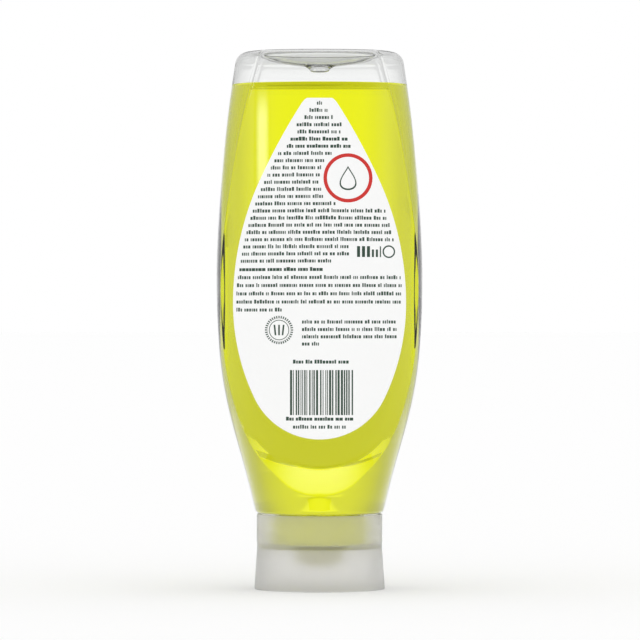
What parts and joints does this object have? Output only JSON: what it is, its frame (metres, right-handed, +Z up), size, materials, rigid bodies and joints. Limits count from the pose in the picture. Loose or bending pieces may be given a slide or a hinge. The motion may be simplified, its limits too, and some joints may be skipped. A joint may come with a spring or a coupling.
{
  "type": "dish soap bottle",
  "caption": "Upside-down clear squeeze bottle of yellow-green dish soap on a wide frosted screw cap with a self-closing valve, teardrop label on the front panel",
  "frame": {"origin": "middle of the cap's foot, on the surface that the bottle stands on", "axes": "+Z up to the bottle's base, X across the width, the label faces -Y"},
  "size_m": [0.0884, 0.0588, 0.23],
  "materials": {
    "clear_bottle": "clear, glossy blown plastic",
    "soap": "clear yellow-green liquid",
    "label_film": "satin white film with green and red print",
    "frosted_cap": "frosted, translucent moulded plastic",
    "silicone": "soft, slightly cloudy silicone",
    "retainer_plastic": "plain moulded plastic",
    "liner_foam": "pressed foam"
  },
  "bodies": {
    "cap": {"cap": "frosted_cap", "valve": "silicone", "valve_retainer": "retainer_plastic"},
    "liner": {"neck_liner": "liner_foam"},
    "bottle": {"bottle": "clear_bottle", "dish_soap": "soap", "back_label": "label_film"}
  },
  "joints": [
    {"name": "bottle_turn", "type": "hinge", "parent": "cap", "child": "liner", "pos_m": [0, 0, 0.02], "axis": [0, 0, 1], "range_deg": [0, 720]},
    {"name": "bottle_lift", "type": "slide", "parent": "liner", "child": "bottle", "axis": [0, 0, 1], "range_m": [0, 0.00846]}
  ],
  "couplings": [
    {"joint": "bottle_turn", "follows": "bottle_lift", "rad_per_m": 1485.3}
  ]
}
